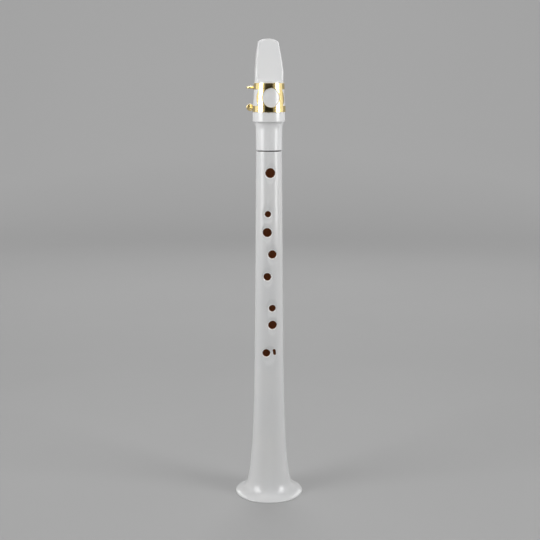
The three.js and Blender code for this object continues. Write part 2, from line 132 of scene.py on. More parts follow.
# Reed: lengths run from the barrel's top towards the tip
REED_BUTT, REED_TIP = -35.87, 34.13
REED_BASE, REED_THICKNESS, REED_ARCH = 0.2, 3.0, 13.8
REED_BUTT_WIDTH, REED_TIP_WIDTH = 13, 16
REED_VAMP_LENGTH, REED_HEART, REED_TIP_THICKNESS = 33, 1.26, 0.3
REED_EASE, REED_CORNER = 0.12, 1.2
VAMP_START = REED_TIP - REED_VAMP_LENGTH
VAMP_HEIGHTS = [VAMP_START, VAMP_START + 5.5, VAMP_START + 16.5, VAMP_START + 25, REED_TIP]
VAMP_DEPTHS = [REED_THICKNESS - 0.35, 2.05, REED_HEART, 0.74, REED_TIP_THICKNESS]
VAMP_BOW, VAMP_CROWN = 0.07, 0.0045

# Ligature, with heights above the mouthpiece's lower end
LIGATURE_TOP = BARREL_TOP - 1.4
LIGATURE_BOTTOM = LIGATURE_TOP - 23.4
LIGATURE_MIDDLE = (LIGATURE_TOP + LIGATURE_BOTTOM) / 2
BAND_HEIGHT, SHEET, SHEET_CLEARANCE, SHEET_EDGE = 5.1, 0.4, 0.15, 0.14
PLATE_ANGLE, PLATE_BULGE_ANGLE = math.radians(46), math.radians(58)
PLATE_HOLE = (14.6, 15.4)
SLIT_HALF_WIDTH, STRIP_WIDTH = 4.3, 4.1
OUTSIDE_SHEET = 5.0
POST_RADIUS, POST_INNER, POST_OUTER, POST_FOOT = 2.1, 4.6, 9.2, 3.0
SOLDER_WIDTH, SOLDER_RISE = 0.55, 0.4
SCREW_DEPTH = 15.027
SCREW_HEIGHTS = [LIGATURE_TOP - 3.7, LIGATURE_TOP - 20.1]
SCREW_TURNS = [math.radians(90), math.radians(10)]
SCREW_RADIUS, SCREW_END, SCREW_CLEARANCE = 1.25, 9.9, 0.1
SCREW_COLLAR_RADIUS, SCREW_COLLAR = 1.9, (-11.2, -9.3)
PADDLE_CENTRE, PADDLE_RADIUS, PADDLE_THICKNESS, PADDLE_EDGE = -13.95, 3.0, 2.1, 1.3
THREAD_PITCH, THREAD_DEPTH, THREAD_START = 0.7, 0.13, 1.5


def rounded_max(a, b, radius):
    """Keeps what two fields both hold, with a rounded edge."""
    corner = np.hypot(np.maximum(a + radius, 0), np.maximum(b + radius, 0))
    return np.minimum(-radius, np.maximum(a, b)) + corner


def rounded_min(a, b, radius):
    """Joins two fields with a fillet."""
    return -rounded_max(-a, -b, radius)


def smooth_step(value, start, end):
    share = np.clip((value - start) / (end - start), 0, 1)
    return share * share * (3 - 2 * share)


def gradient(field, points, reach=0.01):
    """Slope of a field at each point."""
    slope = np.empty_like(points)
    for axis in range(3):
        step = np.zeros(3)
        step[axis] = reach
        slope[:, axis] = (field(*(points + step).T) - field(*(points - step).T)) / (2 * reach)
    return slope


def drawn_onto(field, points, limit, rounds):
    """Points moved onto the surface where a field is zero, by no more than a limit at a time."""
    for _ in range(rounds):
        slope = gradient(field, points)
        move = -(field(*points.T) / np.maximum((slope ** 2).sum(1), 1e-9))[:, None] * slope
        length = np.linalg.norm(move, axis=1, keepdims=True)
        points = points + move * np.minimum(1, limit / np.maximum(length, 1e-9))
    return points


def neighbour_mean(points, quads):
    """The middle of each point's neighbours along the edges of the quads."""
    here, there = quads.ravel(), np.roll(quads, 1, 1).ravel()
    here, there = np.concatenate([here, there]), np.concatenate([there, here])
    total = np.stack([np.bincount(here, points[there, i], len(points)) for i in range(3)], 1)
    return total / np.bincount(here, minlength=len(points))[:, None]


def skin(field, low, high, step, place=None):
    """Points, quads and normals of the surface where a field is zero; it is negative inside the solid.

    The field is sampled on a grid of cells, and one point goes in each cell that the surface crosses.
    The points are then drawn onto the surface and spread evenly on it. place turns the grid's own
    coordinates into x, y and z.
    """
    largest_move, first_rounds, spread_rounds, later_rounds = 0.4, 5, 4, 2
    step = np.broadcast_to(np.array(step, float), 3)
    axes = [np.arange(low[i], high[i] + step[i], step[i]) for i in range(3)]
    corners = np.meshgrid(*axes, indexing="ij")
    xyz = place(*corners) if place else corners
    inside = field(*xyz) < 0
    cells = tuple(n - 1 for n in inside.shape)
    filled = np.zeros(cells, int)
    for i in (0, 1):
        for j in (0, 1):
            for k in (0, 1):
                filled += inside[i:i + cells[0], j:j + cells[1], k:k + cells[2]]
    crossed = (filled > 0) & (filled < 8)
    number = np.full(cells, -1)
    number[crossed] = np.arange(crossed.sum())
    where = np.argwhere(crossed)
    grid_points = np.array(low, float) + (where + 0.5) * step
    points = np.stack(place(*grid_points.T), 1) if place else grid_points
    limit = largest_move * (step.max() if place is None else step[1])
    points = drawn_onto(field, points, limit, first_rounds)
    quads = []
    for axis in range(3):
        before = inside.take(range(inside.shape[axis] - 1), axis)
        after = inside.take(range(1, inside.shape[axis]), axis)
        other = [a for a in range(3) if a != axis]
        for leaving in (True, False):
            edges = np.argwhere((before != after) & (before == leaving))
            keep = (edges[:, other] > 0).all(1) & (edges[:, other] < np.array(cells)[other]).all(1)
            edges = edges[keep]
            ring = []
            for first, second in ((1, 1), (0, 1), (0, 0), (1, 0)):
                cell = edges.copy()
                cell[:, other[0]] -= first
                cell[:, other[1]] -= second
                ring.append(number[tuple(cell.T)])
            ring = np.stack(ring, 1)
            quads.append(ring if leaving == (axis != 1) else ring[:, ::-1])
    quads = np.concatenate(quads)
    for _ in range(spread_rounds):
        halfway = (points + neighbour_mean(points, quads)) / 2
        points = drawn_onto(field, halfway, limit, later_rounds)
    slope = gradient(field, points)
    return points, quads, slope / np.linalg.norm(slope, axis=1, keepdims=True)


def make_mesh(name, points, faces, place=None):
    """A mesh object from points in millimetres, put in the part's frame."""
    mesh = bpy.data.meshes.new(name)
    mesh.from_pydata([tuple(p) for p in points], [], [tuple(int(i) for i in f) for f in faces])
    mesh.transform(Matrix.Scale(MILLIMETRE, 4) @ (place or Matrix()))
    mesh.validate()
    mesh.shade_smooth()
    piece = bpy.data.objects.new(name, mesh)
    bpy.context.scene.collection.objects.link(piece)
    return piece


def dress(piece, body, node, slot, *materials):
    """Gives a piece its materials, and puts it on a CAD body in the place of a CAD node."""
    for material in materials:
        piece.data.materials.append(material)
    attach(piece, body)
    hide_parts(node)
    return piece


def skinned_piece(name, field, low, high, step, frame_matrix, grid_place=None):
    """A piece made from a field, with the field's own normals."""
    points, quads, normals = skin(field, low, high, step, grid_place)
    piece = make_mesh(name, points, quads, frame_matrix)
    turn = np.array(frame_matrix.to_3x3())
    piece.data.normals_split_custom_set_from_vertices([tuple(n) for n in normals @ turn.T])
    return piece


# Materials
class Nodes:
    """Short calls for building one material's nodes."""

    def __init__(self, name):
        self.material = bpy.data.materials.new(name)
        self.material.use_nodes = True
        self.tree = self.material.node_tree
        self.shader = self.tree.nodes["Principled BSDF"]
        self.place = self.tree.nodes.new("ShaderNodeTexCoord").outputs["Object"]

    def add(self, kind, inputs=None, **settings):
        node = self.tree.nodes.new(kind)
        for key, value in settings.items():
            setattr(node, key, value)
        for key, value in (inputs or {}).items():
            self.set(node.inputs[key], value)
        return node

    def set(self, socket, value):
        if isinstance(value, bpy.types.NodeSocket):
            self.tree.links.new(value, socket)
        else:
            socket.default_value = value

    def maths(self, operation, *values):
        return self.add("ShaderNodeMath", dict(enumerate(values)), operation=operation).outputs[0]

    def height(self):
        return self.add("ShaderNodeSeparateXYZ", {0: self.place}).outputs[2]

    def length(self, vector):
        node = self.add("ShaderNodeVectorMath", {0: vector}, operation="LENGTH")
        return node.outputs["Value"]

    def stretched(self, scale, rotation=(0, 0, 0)):
        inputs = {"Vector": self.place, "Scale": scale, "Rotation": rotation}
        return self.add("ShaderNodeMapping", inputs).outputs[0]

    def noise(self, scale, detail=3.0, vector=None, roughness=0.5):
        inputs = {"Vector": vector or self.place, "Scale": scale, "Detail": detail}
        return self.add("ShaderNodeTexNoise", {**inputs, "Roughness": roughness}).outputs["Fac"]

    def band(self, value, low, high, to_low=0.0, to_high=1.0):
        inputs = {"Value": value, "From Min": low, "From Max": high}
        inputs.update({"To Min": to_low, "To Max": to_high})
        return self.add("ShaderNodeMapRange", inputs).outputs["Result"]

    def mix(self, share, first, second):
        node = self.add("ShaderNodeMix", data_type="RGBA")
        for index, value in ((0, share), (6, first), (7, second)):
            self.set(node.inputs[index], (*value, 1) if isinstance(value, tuple) else value)
        return node.outputs[2]

    def bump(self, height, strength, distance, normal=None):
        inputs = {"Height": height, "Strength": strength, "Distance": distance}
        if normal:
            inputs["Normal"] = normal
        return self.add("ShaderNodeBump", inputs).outputs[0]

    def finish(self, **inputs):
        for key, value in inputs.items():
            socket = self.shader.inputs[key.replace("_", " ")]
            self.set(socket, (*value, 1) if isinstance(value, tuple) else value)
        return self.material


def scratches(nodes, scale, turn, share):
    """Fine straight hairlines that run in one direction: the crests of a noise drawn out along them."""
    return nodes.band(nodes.noise(1.0, 1.0, nodes.stretched(scale, turn)), share, share + 0.05)


HEAD_WHITE, HEAD_WHITE_COOL = (0.75, 0.75, 0.745), (0.72, 0.725, 0.73)
TUBE_WHITE, TUBE_WHITE_COOL = (0.69, 0.69, 0.685), (0.66, 0.665, 0.67)
# Painted highlight: the pale cream put on each hole's rim
HOLE_RIM_HIGHLIGHT_WHITE = (0.86, 0.84, 0.80)
# Painted shade: the dark colour put in the seam between tube and mouthpiece
SEAM_PAINTED_SHADE = (0.05, 0.047, 0.042)
BORE_BROWN = (0.22, 0.077, 0.031)
BORE_BROWN_DEEP = (0.14, 0.048, 0.019)
# Painted light: how strongly the deep bore glows brown
BORE_PAINTED_GLOW = 0.2
THROAT_WHITE_END, THROAT_BROWN_START = 0.038, 0.072
GOLD, GOLD_DEEP = (0.93, 0.75, 0.36), (0.85, 0.66, 0.28)
CUT_CANE, CUT_CANE_DEEP = (0.78, 0.60, 0.33), (0.60, 0.41, 0.18)
BARK, BARK_DEEP, BARK_FIBRE = (0.64, 0.42, 0.15), (0.45, 0.26, 0.08), (0.36, 0.20, 0.06)
RUBBER_BLACK, RUBBER_DUST = (0.018, 0.018, 0.02), (0.045, 0.044, 0.042)


def plastic_surface(nodes):
    """Roughness and bump of polished moulded plastic: flow waves, a fine grain and a few hairlines."""
    hairs = scratches(nodes, (2600, 2600, 60), (0.12, 0.2, 0.0), 0.7)
    smears = nodes.noise(55, 4)
    grain = nodes.noise(2600, 2)
    waves = nodes.noise(120, 2)
    rough = nodes.band(smears, 0.35, 0.7, 0.19, 0.27)
    rough = nodes.maths("MULTIPLY_ADD", hairs, 0.05, rough)
    normal = nodes.bump(waves, 0.25, 0.00006)
    normal = nodes.bump(grain, 0.12, 0.000012, normal)
    return rough, normal


def painted_seam_shade(nodes):
    """One in the seam between tube and mouthpiece, where the colour is darkened as painted shade, else
    nought.
    """
    height = nodes.height()
    radius = nodes.length(nodes.stretched((1, 1, 0)))
    low, high = SHOULDER * MILLIMETRE, (HEAD_FOOT + 0.1) * MILLIMETRE
    edge = (TUBE_TOP_RADIUS - 0.5) * MILLIMETRE
    above = nodes.band(height, low - 0.0002, low - 0.0001)
    below = nodes.band(height, high, high + 0.0001, 1, 0)
    within = nodes.band(radius, edge, edge + 0.0002, 1, 0)
    return nodes.maths("MULTIPLY", nodes.maths("MULTIPLY", above, below), within)


def white_plastic(name, white, cool):
    nodes = Nodes(name)
    rough, normal = plastic_surface(nodes)
    tone = nodes.mix(nodes.band(nodes.noise(28, 3), 0.3, 0.7), white, cool)
    # Painted shade: the seam between tube and mouthpiece is darkened in the colour
    tone = nodes.mix(painted_seam_shade(nodes), tone, SEAM_PAINTED_SHADE)
    return nodes.finish(
        Base_Color=tone, Roughness=rough, Normal=normal, IOR=1.5, Coat_Weight=0.25, Coat_Roughness=0.06,
    )


def hole_rim_painted_highlight():
    """The rim round each hole, painted paler and slightly cream as a highlight along its edge."""
    nodes = Nodes("hole_rim_painted_highlight_plastic")
    rough, normal = plastic_surface(nodes)
    tone = nodes.mix(nodes.band(nodes.noise(300, 3), 0.3, 0.7), HOLE_RIM_HIGHLIGHT_WHITE, TUBE_WHITE)
    return nodes.finish(Base_Color=tone, Roughness=rough, Normal=normal, IOR=1.5)


def bore_plastic():
    """The unpolished inside: white at the bell's mouth, then brown, and the brown glows as painted
    light for what the thin white wall lets through.
    """
    nodes = Nodes("bore_brown_plastic_painted_glow")
    height = nodes.height()
    streaks = nodes.noise(1.0, 4, nodes.stretched((260, 260, 30)))
    brown = nodes.mix(nodes.band(streaks, 0.3, 0.7), BORE_BROWN_DEEP, BORE_BROWN)
    edge = nodes.maths("MULTIPLY_ADD", nodes.noise(40, 4), 0.02, height)
    depth = nodes.band(edge, THROAT_WHITE_END, THROAT_BROWN_START)
    tone = nodes.mix(depth, TUBE_WHITE_COOL, brown)
    # Painted light: the deep bore glows brown, standing in for light let through the wall
    glow = nodes.mix(depth, (0.0, 0.0, 0.0), brown)
    normal = nodes.bump(nodes.noise(900, 3), 0.3, 0.00004)
    rough = nodes.band(streaks, 0.3, 0.7, 0.4, 0.55)
    return nodes.finish(
        Base_Color=tone, Roughness=rough, Normal=normal, Specular_IOR_Level=0.1,
        Emission_Color=glow, Emission_Strength=BORE_PAINTED_GLOW,
    )


def gold_brass(name, smoothest, roughest):
    """Lacquered gold brass, brushed along the sheet, with cloudy lacquer and a few cross hairlines."""
    nodes = Nodes(name)
    hairs = scratches(nodes, (90, 90, 7000), (0, 0, 0), 0.62)
    cross = scratches(nodes, (4200, 90, 90), (0.5, 0.3, 0.7), 0.7)
    clouds = nodes.noise(260, 4)
    tone = nodes.mix(nodes.band(clouds, 0.3, 0.75), GOLD, GOLD_DEEP)
    rough = nodes.band(clouds, 0.3, 0.75, smoothest, roughest)
    worn = nodes.maths("MAXIMUM", hairs, cross)
    rough = nodes.maths("MULTIPLY_ADD", worn, 0.1, rough)
    normal = nodes.bump(nodes.noise(700, 2), 0.15, 0.00002)
    normal = nodes.bump(worn, 0.2, 0.000006, normal)
    return nodes.finish(
        Base_Color=tone, Roughness=rough, Normal=normal, Metallic=1.0,
        Coat_Weight=0.3, Coat_Roughness=0.08,
    )


def cut_cane():
    """Pale cut cane with fibres along the reed, and darker bark on the stock."""
    nodes = Nodes("cut_cane")
    turn = (-TABLE_TILT, 0, -HEAD_TURN)
    fibres = nodes.noise(1.0, 5, nodes.stretched((1900, 1900, 26), turn), 0.65)
    pores = nodes.noise(1.0, 2, nodes.stretched((4200, 4200, 240), turn))
    blotches = nodes.noise(1.0, 3, nodes.stretched((180, 180, 45), turn))
    cut = nodes.mix(nodes.band(fibres, 0.3, 0.7), CUT_CANE, CUT_CANE_DEEP)
    bark = nodes.mix(nodes.band(blotches, 0.35, 0.65), BARK, BARK_DEEP)
    bark = nodes.mix(nodes.band(fibres, 0.45, 0.75, 0.0, 0.55), bark, BARK_FIBRE)
    height = nodes.height()
    vamp_start = (HEAD_FOOT + BARREL_TOP + VAMP_START) * MILLIMETRE
    turned = nodes.stretched((1, 1, 1), (0, 0, -HEAD_TURN))
    across = nodes.add("ShaderNodeSeparateXYZ", {0: turned}).outputs[0]
    squared = nodes.maths("MULTIPLY", across, across)
    curved = nodes.maths("MULTIPLY_ADD", squared, -VAMP_BOW / MILLIMETRE, height)
    on_vamp = nodes.band(curved, vamp_start - 0.0004, vamp_start + 0.0004)
    tone = nodes.mix(on_vamp, bark, cut)
    rough = nodes.band(on_vamp, 0, 1, 0.34, 0.58)
    normal = nodes.bump(fibres, 0.5, 0.00005)
    normal = nodes.bump(pores, 0.3, 0.00003, normal)
    return nodes.finish(Base_Color=tone, Roughness=rough, Normal=normal)


def ring_rubber():
    nodes = Nodes("ring_rubber")
    dust = nodes.noise(1400, 4)
    tone = nodes.mix(nodes.band(dust, 0.4, 0.8), RUBBER_BLACK, RUBBER_DUST)
    rough = nodes.band(dust, 0.3, 0.8, 0.42, 0.68)
    normal = nodes.bump(nodes.noise(3000, 2), 0.25, 0.00002)
    return nodes.finish(Base_Color=tone, Roughness=rough, Normal=normal)


HEAD_PLASTIC = white_plastic("white_moulded_plastic_head", HEAD_WHITE, HEAD_WHITE_COOL)
TUBE_PLASTIC = white_plastic("white_moulded_plastic_tube", TUBE_WHITE, TUBE_WHITE_COOL)
HOLE_RIM_HIGHLIGHT_PLASTIC, BORE_PLASTIC = hole_rim_painted_highlight(), bore_plastic()
GOLD_SHEET = gold_brass("lacquered_gold_brass", 0.10, 0.19)
GOLD_CASTING = gold_brass("cast_gold_brass", 0.24, 0.36)
RUBBER = ring_rubber()


# Tube and bell: rows of a turned profile, cut open round each hole. The gaps between rows are given
# beside a hole, at the bell's lip, and as what is added to that by the top of the flare.
COLUMNS = 140
OUTER_GAPS, INNER_GAPS = (0.5, 0.2, 1.1), (1.0, 0.25, 2.3)
ROWS_BESIDE_HOLE, FLARE_HEIGHT = 6, 45
LIP_FACES, LIP_END, LIP_CHAMFER = 8, 30, 0.3
SHOULDER_FACES = 6
OUTER_WINDOW, INNER_WINDOW = HOLE_EDGE + RIM_HIGHLIGHT_WIDTH + 0.25, 0.75
WINDOW_SHARES, EDGE_TURNS = (0.3, 0.6, 0.85, 1.0), np.radians([0, 25, 50, 70, 90])
# Material numbers; the third is the hole rims with their painted highlight
OUTSIDE, INSIDE, RIM_HIGHLIGHT = 0, 1, 2


def bell_curve(height):
    """Radius of the bell's smooth outline at a height above its lip."""
    base = TUBE_TOP_RADIUS + TUBE_TAPER * (SHOULDER - BELL_LIP)
    flare = BELL_RADIUS - BELL_LIP_INSET - base - BELL_SWELL
    swell = BELL_SWELL * np.exp(-height / BELL_SWELL_LENGTH)
    return base - TUBE_TAPER * height + swell + flare * np.exp(-height / LIP_FLARE_LENGTH)


def outer_radius(height):
    return bell_curve(height - BELL_LIP)


def inner_radius(height):
    wall = TUBE_WALL * (1 - np.exp(-height / WALL_GROWTH_LENGTH))
    return np.maximum(bell_curve(height + BELL_INNER_RISE) - wall, BORE_RADIUS)


def dished_radius(angle, height):
    """Outer radius with the finger dishes; angles run from the front, which faces -Y, towards +X."""
    radius = outer_radius(height)
    dishes = []
    rise = DISH_DEPTH / (DISH_LENGTH / 2) ** 2
    for drop, offset, _ in [*TONE_HOLES[:-1], THUMB_HOLE]:
        surface = outer_radius(SHOULDER - drop)
        facing = math.pi if drop == THUMB_HOLE[0] else math.asin(offset / surface)
        cosine, sine = np.cos(angle - facing), np.sin(angle - facing)
        floor = surface - DISH_DEPTH + rise * (height - SHOULDER + drop) ** 2
        root = np.sqrt(np.maximum(cosine ** 2 - 4 * rise * sine ** 2 * floor, 0))
        depth = 2 * floor / np.maximum(cosine + root, 0.1)
        dishes.append(np.where(cosine > DISH_SIDE, depth, NO_DISH))
    rise = LOW_DISH_DEPTH / (DISH_LENGTH / 2) ** 2
    low_floor = outer_radius(SHOULDER - LOW_DISH_DROP) - LOW_DISH_DEPTH
    low_floor = low_floor + rise * (height - SHOULDER + LOW_DISH_DROP) ** 2
    low_radius = low_floor / np.maximum(np.cos(angle), DISH_SIDE)
    dishes.append(np.where(np.cos(angle) > DISH_SIDE, low_radius, NO_DISH))
    for dish in dishes:
        overlap = np.clip(0.5 + 0.5 * (radius - dish) / DISH_BLEND, 0, 1)
        blend = radius + (dish - radius) * overlap - DISH_BLEND * overlap * (1 - overlap)
        radius = np.where(dish > radius + DISH_BLEND, radius, blend)
    return radius


def on_wall(radius_at, facing, across, height):
    """Point on the wall seen at a place across and up, looking along a hole that faces an angle."""
    across, height = np.broadcast_arrays(np.asarray(across, float), np.asarray(height, float))
    turn, rounds = np.zeros_like(across), 12
    for _ in range(rounds):
        turn = np.arcsin(np.clip(across / radius_at(facing + turn, height), -1, 1))
    radius = radius_at(facing + turn, height)
    return np.stack([radius * np.sin(facing + turn), -radius * np.cos(facing + turn), height], -1)


def corner_arc(centre, radius, start, end, steps):
    """Points on an arc between two angles in degrees."""
    angles = np.radians(np.linspace(start, end, steps + 1))
    return np.stack([centre[0] + radius * np.cos(angles), centre[1] + radius * np.sin(angles)], 1)


def wall_rows(start, end, gaps):
    """Heights from start to end, close together at the lip and beside the holes."""
    beside_hole, at_lip, growth = gaps
    middles = [SHOULDER - hole[0] for hole in [*TONE_HOLES, THUMB_HOLE]]
    heights = [start]
    while heights[-1] < end:
        height = heights[-1]
        if min(abs(middle - height) for middle in middles) < ROWS_BESIDE_HOLE:
            heights.append(height + beside_hole)
        else:
            heights.append(height + (at_lip + growth * min(1, height / FLARE_HEIGHT)))
    return np.array(heights[:-1] + [end])


def tenon_rows():
    """Profile of the tenon from the shoulder to the bore's edge, with rounded grooves for the rings."""
    rim, floor, corner = TENON_RADIUS, TENON_RADIUS - GROOVE_DEPTH, GROOVE_CORNER
    rows = [(rim + TENON_ROOT, SHOULDER), (rim, SHOULDER + TENON_ROOT)]
    for middle in sorted(RING_HEIGHTS):
        low, high = middle - GROOVE_WIDTH / 2, middle + GROOVE_WIDTH / 2
        rows += [(rim, low - corner), (rim - corner, low)]
        rows += [(floor + corner, low), (floor, low + corner)]
        rows += [(floor, high - corner), (floor + corner, high)]
        rows += [(rim - corner, high), (rim, high + corner)]
    rows += [(rim, TENON_TOP - TENON_CHAMFER), (rim - TENON_CHAMFER, TENON_TOP)]
    rows += [(BORE_RADIUS + BORE_CHAMFER, TENON_TOP), (BORE_RADIUS, TENON_TOP - BORE_CHAMFER)]
    return np.array(rows)


def outline_reach(angles, half_width, half_length, lean):
    """How far a round or long hole reaches from its middle in each direction, by halving."""
    low, high = np.zeros_like(angles), np.full_like(angles, half_width + half_length + 1)
    halvings = 40
    for _ in range(halvings):
        middle = (low + high) / 2
        across, up = middle * np.cos(angles), middle * np.sin(angles)
        along = across * math.sin(lean) + up * math.cos(lean)
        aside = across * math.cos(lean) - up * math.sin(lean)
        inside = np.hypot(aside, along - np.clip(along, -half_length, half_length)) < half_width
        low, high = np.where(inside, middle, low), np.where(inside, high, middle)
    return low


def zip_loops(first, first_angles, second, second_angles):
    """Triangles between two closed loops that run the same way, each with its own number of points."""
    triangles = []
    i = j = 0
    apart = np.angle(np.exp(1j * (second_angles - first_angles[0])))
    start = int(np.argmin(np.abs(apart)))
    second = np.roll(second, -start)
    second_angles = np.roll(second_angles, -start)
    a = np.unwrap(np.append(first_angles, first_angles[0]))
    b = np.unwrap(np.append(second_angles, second_angles[0]))
    b += a[0] - b[0] + np.angle(np.exp(1j * (b[0] - a[0])))
    while i < len(first) or j < len(second):
        if j == len(second) or (i < len(first) and a[i + 1] <= b[j + 1]):
            triangles.append((first[i], first[(i + 1) % len(first)], second[j % len(second)]))
            i += 1
        else:
            triangles.append((first[i % len(first)], second[(j + 1) % len(second)], second[j]))
            j += 1
    return triangles


def tube_mesh():
    """Points, faces and each face's material number."""
    lip_centre = (BELL_RADIUS - BELL_LIP_ROUNDING, BELL_LIP_ROUNDING)
    bottom = np.array([(inner_radius(0.0) + LIP_CHAMFER, 0.0)])
    lip = corner_arc(lip_centre, BELL_LIP_ROUNDING, -90, LIP_END, LIP_FACES)
    outer_heights = wall_rows(BELL_LIP, SHOULDER - SHOULDER_ROUNDING, OUTER_GAPS)
    outer = np.stack([outer_radius(outer_heights), outer_heights], 1)
    top_centre = (TUBE_TOP_RADIUS - SHOULDER_ROUNDING, SHOULDER - SHOULDER_ROUNDING)
    top = corner_arc(top_centre, SHOULDER_ROUNDING, 0, 90, SHOULDER_FACES)[1:]
    inner_heights = wall_rows(LIP_CHAMFER, TENON_TOP - 0.5, INNER_GAPS)[::-1]
    inner = np.stack([inner_radius(inner_heights), inner_heights], 1)
    parts = [bottom, lip, outer, top, tenon_rows(), inner]
    profile = np.concatenate(parts)
    starts = np.cumsum([0] + [len(part) for part in parts])
    outer_rows, inner_rows = range(starts[2], starts[3]), range(starts[5], starts[6])
    angles = np.linspace(-math.pi, math.pi, COLUMNS, endpoint=False)
    radii = np.repeat(profile[:, :1], COLUMNS, 1)
    heights = np.repeat(profile[:, 1:], COLUMNS, 1)
    rows = slice(starts[2], starts[3])
    radii[rows] = dished_radius(angles[None, :], heights[rows])
    turned = np.stack([radii * np.sin(angles), -radii * np.cos(angles), heights], -1)
    points = list(turned.reshape(-1, 3))
    open_faces = np.ones((len(profile), COLUMNS), bool)
    faces, kinds = [], []

    def patch(rows, radius_at, facing, offset, height, reach_of, inner):
        """Opens a window in the grid and fills it with rings; gives back the last, at a hole's edge."""
        margin = INNER_WINDOW if inner else OUTER_WINDOW
        directions = np.linspace(0, 2 * math.pi, 72, endpoint=False)
        outline = reach_of(directions)
        wide = float((outline * np.cos(directions)).max()) + margin
        tall = float((outline * np.sin(directions)).max()) + margin
        row_heights = profile[list(rows), 1]
        low, high = sorted(
            rows[int(np.argmin(np.abs(row_heights - (height + side * tall))))] for side in (-1, 1)
        )
        radius = float(radius_at(np.array(facing), np.array(height)))
        ends = [facing + math.asin((offset + side * wide) / radius) for side in (-1, 1)]
        left, right = [int(round((end + math.pi) / (2 * math.pi) * COLUMNS)) for end in ends]
        loop = [(low, column) for column in range(left, right)]
        loop += [(row, right) for row in range(low, high)]
        loop += [(high, column) for column in range(right, left, -1)]
        loop += [(row, left) for row in range(high, low, -1)]
        columns = [column % COLUMNS for column in range(left, right)]
        assert open_faces[low:high, columns].all(), "two holes share faces"
        open_faces[low:high, columns] = False
        ring = np.array([row * COLUMNS + column % COLUMNS for row, column in loop])
        edge = np.array([points[i] for i in ring])
        across = edge[:, 0] * math.cos(facing) + edge[:, 1] * math.sin(facing)
        ring_angles = np.arctan2(edge[:, 2] - height, across - offset)
        reach = np.hypot(edge[:, 2] - height, across - offset)
        final = reach_of(ring_angles)
        inward = np.array([-math.sin(facing), math.cos(facing), 0])
        stages = [(share, 0.0, 0.0, INSIDE if inner else OUTSIDE) for share in WINDOW_SHARES]
        # Outside, the rim rings take the material with the painted highlight
        if not inner:
            stages += [
                (1.0, RIM_HIGHLIGHT_WIDTH + HOLE_EDGE * sine, HOLE_EDGE * (1 - cosine), RIM_HIGHLIGHT)
                for sine, cosine in zip(np.sin(EDGE_TURNS), np.cos(EDGE_TURNS))
            ]
        edge_width = 0.0 if inner else HOLE_EDGE + RIM_HIGHLIGHT_WIDTH
        for share, closer, deeper, kind in stages:
            span = reach + (final + edge_width - reach) * share - closer
            across, up = offset + span * np.cos(ring_angles), height + span * np.sin(ring_angles)
            place = on_wall(radius_at, facing, across, up) + inward * deeper
            new = np.arange(len(points), len(points) + len(ring))
            points.extend(place)
            after, after_new = np.roll(ring, -1), np.roll(new, -1)
            faces.extend(np.stack([ring, after, after_new, new], 1).tolist())
            kinds.extend([kind] * len(ring))
            ring = new
        return ring, ring_angles

    half_slot = (SLOT_LENGTH - SLOT_WIDTH) / 2
    holes = [(0.0, *hole, 0.0, 0.0) for hole in TONE_HOLES]
    holes.append((math.pi, *THUMB_HOLE, 0.0, 0.0))
    holes.append((0.0, SLOT_DROP, SLOT_OFFSET, SLOT_WIDTH, half_slot, SLOT_LEAN))
    for facing, drop, offset, width, half_length, lean in holes:
        height = SHOULDER - drop

        def reach_of(directions, width=width, half_length=half_length, lean=lean):
            return outline_reach(directions, width / 2, half_length, lean)

        def bore_radius(angle, at):
            return inner_radius(at) + 0 * angle

        place = (facing, offset, height, reach_of)
        outside, outside_angles = patch(outer_rows, dished_radius, *place, False)
        inside, inside_angles = patch(inner_rows, bore_radius, *place, True)
        triangles = zip_loops(outside, outside_angles, inside[::-1], inside_angles[::-1])
        faces.extend(triangles)
        kinds.extend([INSIDE] * len(triangles))

    for row in range(len(profile)):
        kind = INSIDE if row in inner_rows or row == starts[5] - 1 else OUTSIDE
        for column in range(COLUMNS):
            if open_faces[row, column]:
                here, beside = row * COLUMNS + column, row * COLUMNS + (column + 1) % COLUMNS
                above = ((row + 1) % len(profile)) * COLUMNS
                faces.append((here, beside, above + (column + 1) % COLUMNS, above + column))
                kinds.append(kind)
    return points, faces, kinds


def make_tube():
    points, faces, kinds = tube_mesh()
    used = sorted({i for face in faces for i in face})
    renumber = {old: new for new, old in enumerate(used)}
    faces = [[renumber[i] for i in face] for face in faces]
    piece = make_mesh("tube_and_bell", [points[i] for i in used], faces)
    dress(piece, "tube", "body", "white_plastic", TUBE_PLASTIC, BORE_PLASTIC, HOLE_RIM_HIGHLIGHT_PLASTIC)
    piece.data.polygons.foreach_set("material_index", kinds)
    piece.data.set_sharp_from_angle(angle=math.radians(42))


make_tube()


# Tenon rings: moulded rings with a faint flash line round the outside
def make_ring(level, height):
    turns, sections = 160, 24
    around = np.linspace(0, 2 * math.pi, turns, endpoint=False)
    about = np.linspace(0, 2 * math.pi, sections, endpoint=False)
    flash = FLASH_HEIGHT * np.exp(-((np.angle(np.exp(1j * about)) / FLASH_SPREAD) ** 2))
    radius = RING_RADIUS + (RING_SECTION + flash) * np.cos(about)
    lift = height + RING_SECTION * np.sin(about)
    points = [
        (r * math.sin(turn), -r * math.cos(turn), z) for turn in around for r, z in zip(radius, lift)
    ]
    faces = [
        (i * sections + j, (i + 1) % turns * sections + j,
         (i + 1) % turns * sections + (j + 1) % sections, i * sections + (j + 1) % sections)
        for i in range(turns) for j in range(sections)
    ]
    piece = make_mesh(f"rubber_ring_{level}", points, faces)
    dress(piece, "tenon_rings", f"tenon_ring_{level}", "black_rubber", RUBBER)


for level, height in zip(RING_LEVELS, RING_HEIGHTS):
    make_ring(level, height)


# Mouthpiece
HEAD_FRAME = Matrix.Translation((0, 0, HEAD_FOOT)) @ Matrix.Rotation(HEAD_TURN, 4, "Z")


